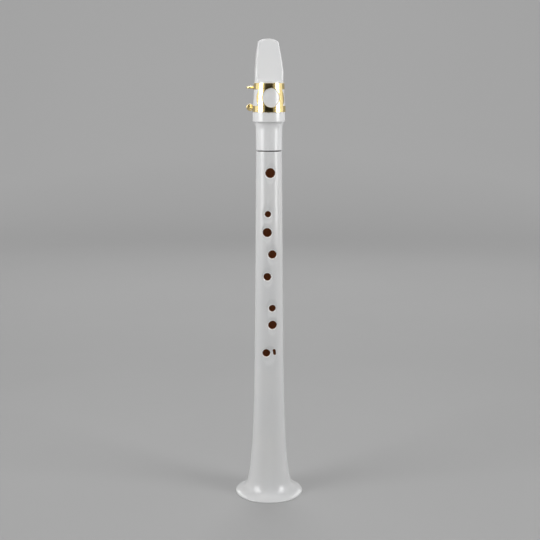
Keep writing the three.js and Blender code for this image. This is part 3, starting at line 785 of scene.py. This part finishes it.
def barrel_radius(height):
    share = np.clip((height - BARREL_BOTTOM) / BARREL_LENGTH, 0, 1)
    return COLLAR_RADIUS - BARREL_DROP * share ** 1.5


def facing_depth(height):
    table = TABLE_DEPTH - math.tan(TABLE_TILT) * (height - BARREL_TOP)
    share = np.clip(1 - (TIP - height) / FACING_LENGTH, 0, None)
    return table - TIP_OPENING * share ** 2


def beak_depth(height):
    tip_front = TABLE_DEPTH - math.tan(TABLE_TILT) * (TIP - BARREL_TOP) - TIP_OPENING - TIP_THICKNESS
    return BEAK_FOOT_DEPTH + (tip_front - BEAK_FOOT_DEPTH) * (height - BARREL_TOP) / (TIP - BARREL_TOP)


def mouthpiece_outside(x, y, height):
    radius = np.hypot(x, y)
    shank = radius - (SHANK_RADIUS + SHANK_TAPER * height / SHANK_LENGTH)
    below_collar = (SHANK_LENGTH + COLLAR_RISE - height) / COLLAR_RISE
    flare = COLLAR_FLARE * rounded_min(shank / COLLAR_FLARE, below_collar, 1.0)
    blank = rounded_max(flare, radius - barrel_radius(height), COLLAR_EDGE)
    blank = rounded_max(blank, -height, SHANK_EDGE)
    rise = height - BARREL_TOP
    beak_width = BARREL_TOP_RADIUS - BEAK_SLOPE * rise - BEAK_CURVE * rise ** 2
    half_width = np.where(rise > 0, beak_width, BARREL_TOP_RADIUS - BEAK_SIDE_GAP * rise)
    side = (np.abs(x) - half_width) / BEAK_STEEPNESS
    tip = np.hypot(x, np.maximum(height - (TIP - TIP_ARC), 0)) - TIP_ARC
    plan = rounded_max(side, tip, BEAK_CORNER)
    slope = float(beak_depth(BARREL_TOP + 1) - beak_depth(BARREL_TOP))
    front = (beak_depth(height) - y) / math.hypot(1, slope)
    shelf = rounded_min(rise, front, BEAK_FOOT_FILLET)
    table = rounded_min(height - TABLE_END, y - facing_depth(height), HEAD_EDGE)
    solid = rounded_max(blank, plan, HEAD_EDGE)
    solid = rounded_max(solid, shelf, BEAK_EDGE + BEAK_EDGE_GROWTH * smooth_step(rise, 0.3, 5))
    return rounded_max(solid, table, HEAD_EDGE)


def mouthpiece_hollow(x, y, height):
    radius = np.hypot(x, y)
    window_start, roof_end = TIP - WINDOW_LENGTH, TIP - TIP_RAIL
    throat = window_start - BORE_RADIUS / 2
    socket = np.maximum(radius - SOCKET_RADIUS, height - SOCKET_DEPTH)
    bore = np.maximum(radius - BORE_RADIUS, height - window_start)
    bend = TIP - FACING_LENGTH / 2
    under_beak = [beak_depth(at) + BEAK_WALL for at in (BARREL_TOP, bend)]
    roof = np.interp(
        height, [throat, BARREL_TOP, bend, roof_end],
        [1 - BORE_RADIUS, *under_beak, facing_depth(roof_end)],
    )
    window_depth = facing_depth(window_start) - 1
    floor = np.interp(height, [throat, window_start], [BORE_RADIUS - 1, window_depth])
    opened = np.minimum(window_start - height, y - floor)
    ends = np.maximum(throat - height, height - roof_end)
    walls = rounded_max(np.abs(x) - WINDOW_HALF_WIDTH, roof - y, CHAMBER_CORNER)
    chamber = rounded_max(np.maximum(ends, opened), walls, HEAD_EDGE)
    return np.minimum(np.minimum(socket, bore), chamber)


def mouthpiece_field(x, y, height):
    hollow = mouthpiece_hollow(x, y, height)
    return rounded_max(mouthpiece_outside(x, y, height), -hollow, HEAD_EDGE)


mouthpiece = skinned_piece(
    "mouthpiece_shell", mouthpiece_field, (-14, -14, -0.7), (14, 14, 91.5), 0.355, HEAD_FRAME,
)
dress(mouthpiece, "mouthpiece", "mouthpiece", "white_plastic", HEAD_PLASTIC)


# Reed: rows across the cane from butt to tip, each a closed outline with eased edges
TABLE_FRAME = Matrix.Translation((0, TABLE_DEPTH, BARREL_TOP)) @ Matrix.Rotation(TABLE_TILT, 4, "X")
REED_FRAME = HEAD_FRAME @ TABLE_FRAME


def reed_height(x, z):
    """Thickness of the reed: the arched back, or the vamp where that has been cut lower."""
    arch = REED_THICKNESS - REED_ARCH + np.sqrt(REED_ARCH ** 2 - x ** 2)
    start = VAMP_START + VAMP_BOW * x ** 2
    crown = VAMP_CROWN * x ** 2 * smooth_step(z, VAMP_START, REED_TIP)
    vamp = np.interp(z - start + VAMP_START, VAMP_HEIGHTS, VAMP_DEPTHS) - crown
    vamp = np.where(z < start, REED_THICKNESS + 1, np.maximum(vamp, REED_TIP_THICKNESS * 0.8))
    return np.minimum(arch, vamp)


def make_reed():
    rows, across, closer_at_tip = 150, 36, 1.15
    ease, corner = REED_EASE, REED_CORNER
    rings = []
    shares = 1 - (1 - np.linspace(0, 1, rows)) ** closer_at_tip
    for share in shares:
        side_end = REED_TIP - TIP_ARC + math.sqrt(TIP_ARC ** 2 - (REED_TIP_WIDTH / 2) ** 2)
        side = REED_BUTT + share * (side_end - REED_BUTT)
        half = (REED_BUTT_WIDTH + (REED_TIP_WIDTH - REED_BUTT_WIDTH) * share) / 2
        over = max(0.0, side - (side_end - corner))
        half -= corner - math.sqrt(max(0.0, corner ** 2 - over ** 2)) if over else 0.0
        x = np.concatenate([[-half], np.linspace(-half + ease, half - ease, across), [half]])
        tip_line = REED_TIP - TIP_ARC + np.sqrt(TIP_ARC ** 2 - x ** 2)
        z = REED_BUTT + share * (tip_line - REED_BUTT)
        height = reed_height(x, z)
        height[[0, -1]] = np.minimum(height[[0, -1]], height[[1, -2]] - ease * 0.6)
        base = np.zeros_like(x)
        base[[0, -1]] = np.minimum(ease, height[[0, -1]] / 3)
        lower = np.stack([x, REED_BASE + base, z], 1)
        upper = np.stack([x, REED_BASE + height, z], 1)[::-1]
        rings.append(np.concatenate([lower, upper]))
    points = np.concatenate(rings)
    size = len(rings[0])
    faces = [
        (k * size + i, k * size + (i + 1) % size,
         (k + 1) * size + (i + 1) % size, (k + 1) * size + i)
        for k in range(rows - 1) for i in range(size)
    ]
    half = size // 2
    for start, turn in ((0, 1), ((rows - 1) * size, -1)):
        for i in range(half - 1):
            last = start + size - 1 - i
            faces.append((start + i, start + i + 1, last - 1, last)[::-turn])
    piece = make_mesh("reed_blade", points, faces, REED_FRAME)
    piece.data.set_sharp_from_angle(angle=math.radians(38))
    dress(piece, "reed", "reed", "cane", cut_cane())


make_reed()


# Ligature: one thin sheet round the barrel, four posts soldered on it and two screws
def sheet_middle_radius(height):
    return barrel_radius(height) + SHEET_CLEARANCE + SHEET / 2


def sheet_field(x, y, height):
    low, high = LIGATURE_BOTTOM + BAND_HEIGHT, LIGATURE_TOP - BAND_HEIGHT
    inner = float(barrel_radius(LIGATURE_MIDDLE)) + SHEET_CLEARANCE
    plate_edge = -inner * math.cos(PLATE_ANGLE)
    plate_bulge = -inner * math.cos(PLATE_BULGE_ANGLE)
    strip_edge = math.sqrt(inner ** 2 - (SLIT_HALF_WIDTH + STRIP_WIDTH) ** 2)
    share = np.clip((high - height) / (high - low), 0, 1)
    edge = plate_edge + 4 * share * (1 - share) * (plate_bulge - plate_edge)
    between_bands = rounded_max(low - height, height - high, 0.5)
    window = rounded_max(between_bands, rounded_max(edge - y, y - strip_edge, 0.5), 0.8)
    oval = np.hypot(2 * x / PLATE_HOLE[0], 2 * (height - LIGATURE_MIDDLE) / PLATE_HOLE[1]) - 1
    hole = np.where(y < 0, oval * PLATE_HOLE[0] / 2, OUTSIDE_SHEET)
    slit = np.where(y > 0, np.abs(x) - SLIT_HALF_WIDTH, OUTSIDE_SHEET)
    outline = rounded_max(LIGATURE_BOTTOM - height, height - LIGATURE_TOP, 0.3)
    outline = rounded_max(outline, -slit, 0.7)
    outline = np.maximum(np.maximum(outline, -window), -hole)
    depth = np.abs(np.hypot(x, y) - sheet_middle_radius(height)) - SHEET / 2
    return rounded_max(outline, depth, SHEET_EDGE)


def round_barrel(angle, height, depth):
    """Wraps the sheet's grid round the barrel."""
    radius = sheet_middle_radius(height) + depth
    return radius * np.sin(angle), -radius * np.cos(angle), height


def make_sheet():
    step, through_step = 0.2, 0.1
    piece = skinned_piece(
        "ligature_sheet", sheet_field,
        (-math.pi, LIGATURE_BOTTOM - 0.5, -0.45), (math.pi, LIGATURE_TOP + 0.5, 0.45),
        (step / COLLAR_RADIUS, step, through_step), HEAD_FRAME, round_barrel,
    )
    dress(piece, "ligature", "ligature_band", "gold_brass", GOLD_SHEET)


def make_post(level, side_name, side, screw_height):
    """A post soldered on the sheet; the grids of left and right mirror each other."""
    def field(x, y, height):
        radius = np.hypot(x, y)
        above_sheet = radius - sheet_middle_radius(height) - SHEET / 2
        middle = side * (POST_INNER + POST_OUTER) / 2
        ends = np.abs(x - middle) - (POST_OUTER - POST_INNER) / 2
        from_axis = np.hypot(y - SCREW_DEPTH, height - screw_height)
        tube = from_axis - POST_RADIUS
        solder = SOLDER_WIDTH * np.exp(-np.maximum(above_sheet, 0) / SOLDER_RISE)
        foot = np.maximum(np.abs(height - screw_height) - POST_FOOT / 2 - solder, y - SCREW_DEPTH)
        solid = rounded_max(rounded_min(tube, foot, 0.5), ends - 0.4 * solder, 0.22)
        bore = from_axis - SCREW_RADIUS - SCREW_CLEARANCE
        return rounded_max(rounded_max(solid, -bore, 0.2), -above_sheet - SHEET / 2, 0.03)

    step, cells, under_sheet, reach = 0.14, 45, 7.3, 2.8
    outer_x = side * (POST_OUTER + 0.8)
    low_x, high_x = sorted((side * (POST_OUTER + 0.8 - cells * step), outer_x))
    piece = skinned_piece(
        f"post_{level}_{side_name}", field,
        (low_x, under_sheet, screw_height - reach),
        (high_x, SCREW_DEPTH + 2.5, screw_height + reach), step, HEAD_FRAME,
    )
    dress(piece, "ligature", f"ligature_post_{level}_{side_name}", "gold_brass", GOLD_SHEET)


def screw_field(x, y, z):
    """A screw along X with its paddle facing Y."""
    radius = np.hypot(y, z)
    turn = np.arctan2(z, y) / (2 * math.pi)
    phase = np.abs(2 * ((x / THREAD_PITCH - turn) % 1) - 1)
    thread = THREAD_DEPTH * (1 - phase) * smooth_step(x, THREAD_START, THREAD_START + 1)
    shaft = rounded_max(radius - SCREW_RADIUS + thread, x - SCREW_END, 0.35)
    shaft = np.maximum(shaft, PADDLE_CENTRE - x)
    collar_half = (SCREW_COLLAR[1] - SCREW_COLLAR[0]) / 2
    collar_ends = np.abs(x - sum(SCREW_COLLAR) / 2) - collar_half
    collar = rounded_max(radius - SCREW_COLLAR_RADIUS, collar_ends, 0.3)
    spread = np.hypot(x - PADDLE_CENTRE, z)
    inside_rim = 1 - np.clip(spread / PADDLE_RADIUS, 0, 1) ** 2
    dome = (PADDLE_THICKNESS - PADDLE_EDGE) / 2 * inside_rim
    paddle = rounded_max(spread - PADDLE_RADIUS, np.abs(y) - PADDLE_EDGE / 2 - dome, 0.5)
    return rounded_min(rounded_min(shaft, collar, 0.15), paddle, 0.4)


def make_screw(level, height, turn):
    place = Matrix.Translation((0, SCREW_DEPTH, height)) @ Matrix.Rotation(turn, 4, "X")
    spare, steps = 0.3, (0.075, 0.12, 0.12)
    reach = PADDLE_RADIUS + spare
    piece = skinned_piece(
        f"thumb_screw_{level}", screw_field,
        (PADDLE_CENTRE - reach, -SCREW_COLLAR_RADIUS - spare, -reach),
        (SCREW_END + spare, SCREW_COLLAR_RADIUS + spare, reach), steps, HEAD_FRAME @ place,
    )
    dress(piece, f"screw_{level}", f"ligature_screw_{level}", "gold_brass", GOLD_CASTING)


make_sheet()
for level, height, turn in zip(RING_LEVELS, SCREW_HEIGHTS, SCREW_TURNS):
    make_post(level, "left", -1, height)
    make_post(level, "right", 1, height)
    make_screw(level, height, turn)


# Stage, in metres: a pale floor that sweeps up behind the part, with a glow that evens out its tone
STAGE_GREY, STAGE_GREY_PALE = (0.27, 0.27, 0.27), (0.285, 0.285, 0.285)
FLOOR_GLOW, BACKDROP_GLOW, HORIZON, SKY_LIGHT = 0.12, 0.305, 0.37, 0.12
GLOW_REACH = (0.45, 1.9)
STAGE_HALF_WIDTH, STAGE_FRONT, STAGE_TOP = 4.0, -4.0, 3.0
SWEEP_START, SWEEP_RADIUS = 1.4, 0.8
CARD_HALF_WIDTH, CARD_LOW, CARD_HIGH, CARD_BACK = 0.75, 0.16, 0.62, -1.3


def seen_rays(tree):
    """One for rays that show the stage, straight or reflected, and nought for those of its light."""
    rays = tree.nodes.new("ShaderNodeLightPath").outputs
    seen = rays["Is Camera Ray"]
    for name in ("Is Glossy Ray", "Is Transmission Ray"):
        larger = tree.nodes.new("ShaderNodeMath")
        larger.operation = "MAXIMUM"
        tree.links.new(seen, larger.inputs[0])
        tree.links.new(rays[name], larger.inputs[1])
        seen = larger.outputs[0]
    return seen


def stage_object(name, points, faces, material):
    mesh = bpy.data.meshes.new(name)
    mesh.from_pydata(points, [], faces)
    mesh.shade_smooth()
    mesh.materials.append(material)
    item = bpy.data.objects.new(name, mesh)
    bpy.context.scene.collection.objects.link(item)
    return item


def make_stage():
    nodes = Nodes("pale_stage")
    tone = nodes.mix(nodes.band(nodes.noise(3, 4), 0.3, 0.7), STAGE_GREY, STAGE_GREY_PALE)
    level = nodes.band(nodes.length(nodes.place), *GLOW_REACH, FLOOR_GLOW, BACKDROP_GLOW)
    material = nodes.finish(
        Base_Color=tone, Roughness=0.7, Specular_IOR_Level=0.15, Emission_Color=(1.0, 1.0, 1.0),
        Emission_Strength=nodes.maths("MULTIPLY", seen_rays(nodes.tree), level),
    )
    arc = corner_arc((SWEEP_START, SWEEP_RADIUS), SWEEP_RADIUS, -90, 0, 24)
    top = (SWEEP_START + SWEEP_RADIUS, STAGE_TOP)
    profile = np.concatenate([[(STAGE_FRONT, 0.0)], arc, [top]])
    points = [(side * STAGE_HALF_WIDTH, y, z) for y, z in profile for side in (-1, 1)]
    faces = [(2 * i, 2 * i + 1, 2 * i + 3, 2 * i + 2) for i in range(len(profile) - 1)]
    stage_object("stage", points, faces, material)


def make_black_card():
    """A card behind the camera, which keeps the middle of the gold and of the tube dark."""
    nodes = Nodes("black_card")
    material = nodes.finish(Base_Color=(0.02, 0.02, 0.02), Roughness=0.9)
    corners = [
        (side * CARD_HALF_WIDTH, CARD_BACK, height)
        for side, height in ((-1, CARD_LOW), (1, CARD_LOW), (1, CARD_HIGH), (-1, CARD_HIGH))
    ]
    card = stage_object("black_card", corners, [(0, 1, 2, 3)], material)
    card.visible_camera = False


def add_light(name, azimuth, distance, height, width, tall, radiance, aim_height):
    """A soft panel at an angle from the camera's direction, aimed at a height above the origin."""
    data = bpy.data.lights.new(name, "AREA")
    data.shape = "RECTANGLE"
    data.size, data.size_y = width, tall
    data.energy = radiance * math.pi * width * tall
    data.spread = PANEL_SPREAD
    light = bpy.data.objects.new(name, data)
    turn = math.radians(azimuth)
    light.location = (distance * math.sin(turn), -distance * math.cos(turn), height)
    toward = light.location.copy()
    toward.z -= aim_height
    light.rotation_euler = toward.to_track_quat("Z", "Y").to_euler()
    light.visible_camera = False
    bpy.context.scene.collection.objects.link(light)


def make_world():
    """An even grey: one strength as light, and a paler one where the world itself is seen."""
    world = bpy.data.worlds.new("studio")
    world.use_nodes = True
    tree = world.node_tree
    sky = tree.nodes["Background"]
    sky.inputs["Color"].default_value = (1, 1, 1, 1)
    strength = tree.nodes.new("ShaderNodeMapRange")
    strength.inputs["To Min"].default_value = SKY_LIGHT
    strength.inputs["To Max"].default_value = HORIZON
    tree.links.new(seen_rays(tree), strength.inputs["Value"])
    tree.links.new(strength.outputs["Result"], sky.inputs["Strength"])
    bpy.context.scene.world = world


def place_camera():
    """The photograph's viewpoint: straight ahead and looking down by about ten degrees."""
    data = bpy.data.cameras.new("camera")
    data.sensor_width, data.lens = SENSOR_WIDTH, LENS
    camera = bpy.data.objects.new("camera", data)
    camera.location = CAMERA_PLACE
    camera.rotation_euler = (math.pi / 2 - CAMERA_TILT, 0, 0)
    bpy.context.scene.collection.objects.link(camera)
    bpy.context.scene.camera = camera


# Name, degrees round from the front, distance, height, width, tallness, radiance and height aimed at;
# a panel of radiance 1 renders as white
PANELS = [
    ("left_low_panel", -62, 1.1, 0.19, 0.62, 0.20, 2.25, 0.19),
    ("left_panel", -62, 1.1, 0.76, 0.62, 0.94, 3.5, 0.76),
    ("right_low_panel", 65, 1.1, 0.19, 0.52, 0.20, 2.5, 0.19),
    ("right_panel", 65, 1.1, 0.76, 0.52, 0.94, 3.9, 0.76),
    ("left_fill", -98, 1.1, 0.7, 0.6, 1.1, 0.33, 0.7),
    ("right_fill", 98, 1.1, 0.7, 0.6, 1.1, 0.33, 0.7),
    ("rear_panel", 180, 1.3, 0.95, 1.3, 0.7, 1.58, 0.2),
    ("top_panel", 180, 0.15, 1.7, 1.6, 1.6, 0.33, 0.0),
]
PANEL_SPREAD = math.radians(130)
SENSOR_WIDTH, LENS = 36, 67.73
CAMERA_PLACE, CAMERA_TILT = (0.0008, -0.848, 0.35665), math.radians(10.6)

make_stage()
make_black_card()
for panel in PANELS:
    add_light(*panel)
make_world()
place_camera()
bpy.context.scene.view_settings.view_transform = "Standard"
